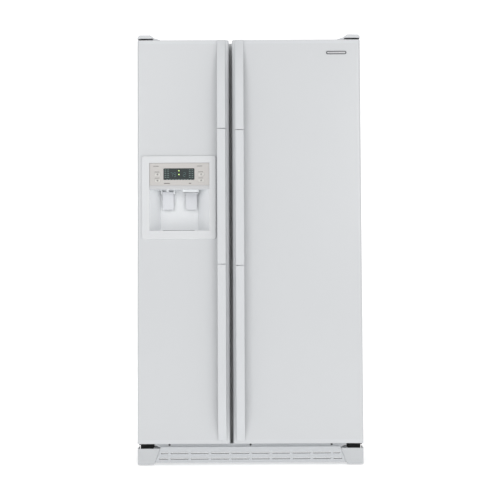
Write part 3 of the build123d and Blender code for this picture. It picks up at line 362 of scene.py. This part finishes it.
# ---------------------------------------------------------------- shape building
ALONG_Y = (0, 1, 0)
SIDES = ((-1, "left"), (1, "right"))


def place(name, mesh, body, material, bevel=0.0, segments=3):
    """A finished piece that rides on a body, its sharp edges softened by a bevel."""
    piece = bpy.data.objects.new(name, mesh)
    bpy.context.scene.collection.objects.link(piece)
    mesh.materials.append(material)
    for polygon in mesh.polygons:
        polygon.use_smooth = True
    if bevel:
        soften = piece.modifiers.new("soften", "BEVEL")
        soften.width = bevel
        soften.segments = segments
        soften.limit_method = "ANGLE"
        soften.angle_limit = math.radians(40)
        soften.harden_normals = True
    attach(piece, body)
    return piece


def outline_prism(name, outline, y_front, y_back):
    """A mesh from a closed (x, z) outline, pushed back from one y to another."""
    shape = bmesh.new()
    front = [shape.verts.new((x, y_front, z)) for x, z in outline]
    back = [shape.verts.new((x, y_back, z)) for x, z in outline]
    shape.faces.new(front)
    shape.faces.new(back[::-1])
    for index in range(len(outline)):
        after = (index + 1) % len(outline)
        shape.faces.new((front[after], front[index], back[index], back[after]))
    bmesh.ops.recalc_face_normals(shape, faces=shape.faces)
    mesh = bpy.data.meshes.new(name)
    shape.to_mesh(mesh)
    shape.free()
    return mesh


def rounded(centre, size, radius, steps=6):
    """A rounded rectangle's outline."""
    half_x, half_z = size[0] / 2 - radius, size[1] / 2 - radius
    points = []
    for corner, (sx, sz) in enumerate(((1, 1), (-1, 1), (-1, -1), (1, -1))):
        for step in range(steps + 1):
            angle = math.radians(90 * corner + 90 * step / steps)
            points.append((
                centre[0] + sx * half_x + radius * math.cos(angle),
                centre[1] + sz * half_z + radius * math.sin(angle),
            ))
    return points


def disc(name, centre, axis, radius, height, sides=32):
    """A cylinder mesh along an axis, ready for a bevel."""
    shape = bmesh.new()
    turn = Vector(axis).to_track_quat("Z", "Y").to_matrix().to_4x4()
    turn.translation = Vector(centre)
    bmesh.ops.create_cone(
        shape, cap_ends=True, segments=sides,
        radius1=radius, radius2=radius, depth=height, matrix=turn,
    )
    mesh = bpy.data.meshes.new(name)
    shape.to_mesh(mesh)
    shape.free()
    return mesh


def pipe(name, points, radius, body, material):
    """A bent tube through points."""
    curve = bpy.data.curves.new(name, "CURVE")
    curve.dimensions = "3D"
    curve.bevel_depth = radius
    curve.bevel_resolution = 4
    curve.use_fill_caps = True
    spline = curve.splines.new("NURBS")
    spline.points.add(len(points) - 1)
    for point, place_at in zip(spline.points, points):
        point.co = (*place_at, 1)
    spline.order_u = 3
    spline.use_endpoint_u = True
    curve.materials.append(material)
    piece = bpy.data.objects.new(name, curve)
    bpy.context.scene.collection.objects.link(piece)
    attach(piece, body)
    return piece


# ---------------------------------------------------------------- badge
skin_low, skin_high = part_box("fridge_door_panel")
y_skin = skin_low.y
badge_mid = (skin_high.x - 0.098, skin_high.z - 0.039)
plate_outline = rounded(badge_mid, (0.083, 0.0135), 0.0062)
inlay_outline = rounded(badge_mid, (0.074, 0.0062), 0.003)
badge = outline_prism("badge_plate", plate_outline, y_skin - 0.0018, y_skin + 0.0002)
place("badge_plate", badge, "fridge_door", BADGE, 0.0007)
inlay = outline_prism("badge_inlay", inlay_outline, y_skin - 0.0023, y_skin - 0.0012)
place("badge_inlay", inlay, "fridge_door", STEEL, 0.0004)

# ---------------------------------------------------------------- control panel and display
panel_low, panel_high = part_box("control_panel")
lens_low, lens_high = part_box("display_lens")
lens_mid = (lens_low + lens_high) / 2
LABEL_SIZE = (0.022, 0.0024)
KEY_LABEL_SIZE = (0.019, 0.0017)
FLAKE_SIZE = (0.0088, 0.0013)
STATUS_HEIGHT = 0.0036
STATUS_DROP = 0.0105
DIGIT_HEIGHT = 0.016
BAR_SIZE = (0.0075, 0.0022)
ICON_SIZE = (0.0058, 0.0026)
DOT_RADIUS = 0.002


def mark(name, x, z, size, y=panel_low.y, material=MARK, turn=0.0):
    """A small printed stroke lying on a face."""
    outline = []
    for px, pz in rounded((0, 0), size, min(size) * 0.45, 3):
        outline.append((
            x + px * math.cos(turn) - pz * math.sin(turn),
            z + px * math.sin(turn) + pz * math.cos(turn),
        ))
    shape = outline_prism(name, outline, y - 0.00025, y + 0.0002)
    return place(name, shape, "freezer_door", material)


for index in range(4):
    low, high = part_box(f"button_{index + 1}")
    mid = ((low.x + high.x) / 2, (low.z + high.z) / 2)
    if index % 2 == 0:
        mark(f"group_label_{index}", mid[0] - 0.006, high.z + 0.026, LABEL_SIZE)
    mark(f"key_label_{index}", mid[0] - 0.002, high.z + 0.0026, KEY_LABEL_SIZE)
    for stroke in range(3):
        turn = stroke * math.pi / 3
        mark(f"key_{index}_flake_{stroke}", mid[0], mid[1], FLAKE_SIZE, low.y, MARK, turn)
for index, (share, width) in enumerate(((0.14, 0.024), (0.83, 0.010))):
    x = lens_low.x + share * (lens_high.x - lens_low.x)
    mark(f"status_mark_{index}", x, lens_low.z - STATUS_DROP, (width, STATUS_HEIGHT))

SEGMENTS = {
    "a": (0, 1, 0), "b": (0.5, 0.5, 1), "c": (0.5, -0.5, 1), "d": (0, -1, 0),
    "e": (-0.5, -0.5, 1), "f": (-0.5, 0.5, 1), "g": (0, 0, 0),
}


def digit(name, x, z, lit, height=DIGIT_HEIGHT):
    """One seven-segment figure."""
    for key in lit:
        dx, dz, upright = SEGMENTS[key]
        size = (height * 0.42, height * 0.09)
        mark(
            f"{name}_{key}", x + dx * height * 0.55, z + dz * height * 0.5, size,
            lens_low.y, GLOW_TEAL, math.pi / 2 if upright else 0.0,
        )


figure_z = lens_mid.z - 0.002
digit("freezer_tens", lens_mid.x - 0.031, figure_z, "abc")
digit("freezer_units", lens_mid.x - 0.017, figure_z, "abcdfg")
digit("fridge_units", lens_mid.x + 0.022, figure_z, "abged")
for side in (-1, 1):
    for column in range(2):
        for row in range(5):
            x = lens_mid.x + side * (0.044 + 0.011 * column)
            z = lens_mid.z + 0.017 - 0.0075 * row
            mark(f"bar_{side + 1}_{column}_{row}", x, z, BAR_SIZE, lens_low.y, GLOW_GREY)
for column in range(9):
    x = lens_mid.x - 0.048 + 0.012 * column
    mark(f"foot_icon_{column}", x, lens_low.z + 0.0055, ICON_SIZE, lens_low.y, GLOW_GREY)
for index, rise in enumerate((0.0135, -0.0015)):
    centre = (lens_mid.x, lens_low.y, lens_mid.z + rise)
    mesh = disc(f"colon_dot_{index}", centre, ALONG_Y, DOT_RADIUS, 0.0006, 20)
    place(mesh.name, mesh, "freezer_door", GLOW_GREEN)

# ---------------------------------------------------------------- drip grille of the dispenser
DRIP_BARS = 7
DRIP_PITCH = 0.008
RECESS_DEPTH = 0.08
FLOOR_RISE = 0.006
drip_z = housing_low.z + 0.0352
drip_x = (panel_low.x + panel_high.x) / 2 - 0.006
for index in range(DRIP_BARS):
    depth = 0.012 + DRIP_PITCH * index
    z = drip_z + FLOOR_RISE * depth / RECESS_DEPTH
    outline = rounded((drip_x, z), (0.128, 0.0018), 0.0007, 2)
    bar = outline_prism(f"drip_bar_{index}", outline, y_skin + depth, y_skin + depth + 0.0038)
    place(bar.name, bar, "freezer_door", GREY_PLASTIC)

# ---------------------------------------------------------------- base: clips and hinge screws
CLIP_SPREAD = 0.328
CLIP_RADIUS = 0.0044
for index in range(3):
    x = CLIP_SPREAD * (index - 1)
    centre = (x, grille_low.y + 0.0088, grille_high.z - 0.0045)
    mesh = disc(f"grille_clip_{index}", centre, ALONG_Y, CLIP_RADIUS, 0.0012)
    place(mesh.name, mesh, "cabinet", DARK_PLASTIC, 0.0003)
hinge_low, hinge_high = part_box("door_hinges")
hinge_screw_z = skin_low.z - 0.016 - 0.0072
for side, end in SIDES:
    centre = (side * (hinge_high.x - 0.006), hinge_low.y - 0.0004, hinge_screw_z)
    mesh = disc(f"hinge_screw_{end}", centre, ALONG_Y, 0.0016, 0.001, 20)
    place(mesh.name, mesh, "cabinet", STEEL)


# ---------------------------------------------------------------- rear: screws, plate and ribs
def screw(name, centre, radius=0.0042, height=0.0018):
    """A pressed screw head on a rear face, with a chamfered rim and a dark socket."""
    head = disc(name, centre, ALONG_Y, radius, height, 24)
    place(name, head, "cabinet", STEEL, 0.0006, 2)
    top = (centre[0], centre[1] + height * 0.5, centre[2])
    socket = disc(f"{name}_slot", top, ALONG_Y, radius * 0.4, 0.0003, 6)
    place(f"{name}_slot", socket, "cabinet", BLACK)


SCREW_ROWS = 8
SCREW_COLUMNS = 5
SCREW_LIFT = 0.0009
back_low, back_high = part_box("back_panel")
for row in range(SCREW_ROWS):
    z = back_low.z + 0.03 + row * (back_high.z - back_low.z - 0.06) / (SCREW_ROWS - 1)
    for side, end in SIDES:
        x = side * (back_high.x - 0.012)
        screw(f"back_screw_{end}_{row}", (x, back_high.y + SCREW_LIFT, z))
cover_low, cover_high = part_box("machine_cover")
y_cover = cover_high.y - 0.010 + 0.0015
for column in range(SCREW_COLUMNS):
    span = cover_high.x - cover_low.x - 0.04
    x = cover_low.x + 0.02 + column * span / (SCREW_COLUMNS - 1)
    screw(f"cover_screw_{column}", (x, y_cover + SCREW_LIFT, cover_high.z - 0.010))

plate_x = back_high.x - 0.11
plate_outline = rounded((plate_x, back_high.z - 0.28), (0.12, 0.075), 0.004)
plate = outline_prism("rating_plate", plate_outline, back_high.y, back_high.y + 0.0004)
place("rating_plate", plate, "cabinet", BADGE_LIGHT)
for index in range(4):
    outline = rounded((plate_x, back_high.z - 0.256 - 0.016 * index), (0.09, 0.0016), 0.0006)
    rule = outline_prism(f"rating_rule_{index}", outline, back_high.y, back_high.y + 0.0007)
    place(rule.name, rule, "cabinet", GREY_PLASTIC)

RIB_SIZE = (0.034, 1.05)
for side, end in SIDES:
    for rib in range(2):
        x = side * (0.12 + 0.16 * rib)
        outline = rounded((x, (back_low.z + back_high.z) / 2 - 0.05), RIB_SIZE, 0.016)
        name = f"back_rib_{end}_{rib}"
        ridge = outline_prism(name, outline, back_high.y - 0.0004, back_high.y + 0.0024)
        place(name, ridge, "cabinet", ZINC, 0.0018)

# ---------------------------------------------------------------- refrigerant pipes
comp_low, comp_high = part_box("compressor")
cond_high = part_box("condenser")[1]
comp_mid = (comp_low + comp_high) / 2
comp_x, comp_y = comp_mid.x, comp_mid.y
comp_top = comp_high.z
pipe_top = comp_top + 0.004
pipe(
    "discharge_pipe",
    [
        (comp_x + 0.060, comp_y - 0.040, comp_top - 0.012),
        (comp_x + 0.060, comp_y - 0.040, pipe_top),
        (comp_x + 0.055, comp_y - 0.070, pipe_top + 0.006),
        (comp_x - 0.06, comp_y - 0.078, pipe_top + 0.006),
        (cond_high.x + 0.12, comp_y - 0.084, pipe_top + 0.004),
        (cond_high.x + 0.03, comp_y - 0.084, pipe_top),
        (cond_high.x + 0.012, comp_y - 0.080, cond_high.z + 0.012),
        (cond_high.x + 0.010, comp_y - 0.05, cond_high.z - 0.014),
        (cond_high.x - 0.001, comp_y - 0.035, cond_high.z - 0.016),
    ],
    0.003, "cabinet", COPPER,
)
pipe(
    "suction_pipe",
    [
        (comp_x + 0.02, comp_y - 0.05, comp_top - 0.045),
        (comp_x + 0.02, comp_y - 0.072, comp_top - 0.030),
        (comp_x + 0.02, comp_y - 0.086, comp_top - 0.010),
        (comp_x + 0.02, comp_y - 0.090, comp_top + 0.012),
    ],
    0.004, "cabinet", COPPER,
)

# ---------------------------------------------------------------- lamps in the two compartments
for name in ("fridge", "freezer"):
    low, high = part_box(f"{name}_liner")
    mid = (low.x + high.x) / 2
    ceiling = high.z - 0.002
    outline = rounded((mid, ceiling - 0.005), (0.17, 0.010), 0.003)
    base = outline_prism(f"{name}_lamp_base", outline, low.y + 0.09, low.y + 0.19)
    place(base.name, base, "cabinet", TRIM, 0.0015)
    outline = rounded((mid, ceiling - 0.0155), (0.15, 0.013), 0.005)
    cover = outline_prism(f"{name}_lamp_cover", outline, low.y + 0.098, low.y + 0.182)
    place(cover.name, cover, "cabinet", LAMP, 0.003)


# ---------------------------------------------------------------- studio
def stage_sheet():
    """A pale floor that sweeps up into a backdrop."""
    shape = bmesh.new()
    front, depth, sweep, rise, wide = -9.0, 3.2, 1.2, 5.0, 9.0
    steps = 12
    line = [(front, 0.0), (depth, 0.0)]
    for step in range(1, steps + 1):
        angle = math.radians(90 * step / steps)
        line.append((depth + sweep * math.sin(angle), sweep * (1 - math.cos(angle))))
    line.append((depth + sweep, rise))
    rows = [[shape.verts.new((x, y, z)) for y, z in line] for x in (-wide, wide)]
    for index in range(len(line) - 1):
        shape.faces.new((rows[0][index], rows[1][index], rows[1][index + 1], rows[0][index + 1]))
    bmesh.ops.recalc_face_normals(shape, faces=shape.faces)
    mesh = bpy.data.meshes.new("studio_floor")
    shape.to_mesh(mesh)
    shape.free()
    for polygon in mesh.polygons:
        polygon.use_smooth = True
    material, tree, shader = new_material("studio_white")
    drift = noise(tree, 0.8, 2.0)
    blend = remap(tree, drift.outputs["Fac"], 0, 1)
    tint(tree, shader, blend, (0.93, 0.93, 0.93), (0.95, 0.95, 0.95))
    shader.inputs["Roughness"].default_value = 0.9
    shader.inputs["Emission Color"].default_value = (1, 1, 1, 1)
    shader.inputs["Emission Strength"].default_value = 0.45
    mesh.materials.append(material)
    floor = bpy.data.objects.new("studio_floor", mesh)
    bpy.context.scene.collection.objects.link(floor)


def softbox(name, place_at, size, power, aim=(0, 0, 0.9)):
    """A large soft light aimed at a point, by default the middle of the doors."""
    light = bpy.data.lights.new(name, "AREA")
    light.shape = "RECTANGLE"
    light.size, light.size_y = size
    light.energy = power
    lamp = bpy.data.objects.new(name, light)
    lamp.location = place_at
    lamp.rotation_euler = (Vector(aim) - Vector(place_at)).to_track_quat("-Z", "Y").to_euler()
    bpy.context.scene.collection.objects.link(lamp)


def studio():
    """Soft even light from a bright room and five softboxes."""
    stage_sheet()
    world = bpy.data.worlds.new("studio_world")
    world.use_nodes = True
    background = world.node_tree.nodes["Background"]
    background.inputs["Color"].default_value = (1.0, 1.0, 1.0, 1)
    background.inputs["Strength"].default_value = 0.44
    bpy.context.scene.world = world
    softbox("key_light", (-1.6, -3.6, 3.0), (2.4, 2.4), 21)
    softbox("front_light", (1.9, -4.6, 2.0), (1.8, 1.8), 27)
    softbox("side_light", (-2.3, -4.4, 1.7), (1.6, 2.2), 20)
    softbox("fill_light", (2.6, -3.2, 1.8), (2.0, 2.6), 17)
    softbox("top_light", (0, 0.4, 3.6), (3.0, 2.0), 22, (0, 0, 0.8))


def camera():
    """The viewer's place: below the middle of the doors, looking slightly up."""
    distance = 3.70
    height = 0.727
    sideways = 0.0015
    pitch = math.radians(2.2)
    roll = math.radians(-0.28)
    data = bpy.data.cameras.new("camera")
    data.sensor_width = 36.0
    data.lens = 65.75
    view = bpy.data.objects.new("camera", data)
    view.location = (sideways, y_skin - distance, height)
    level = Matrix.Rotation(math.pi / 2 + pitch, 3, "X")
    view.rotation_euler = (level @ Matrix.Rotation(roll, 3, "Z")).to_euler()
    bpy.context.scene.collection.objects.link(view)
    bpy.context.scene.camera = view


studio()
camera()
bpy.context.scene.view_settings.view_transform = "Standard"
bpy.context.view_layer.update()
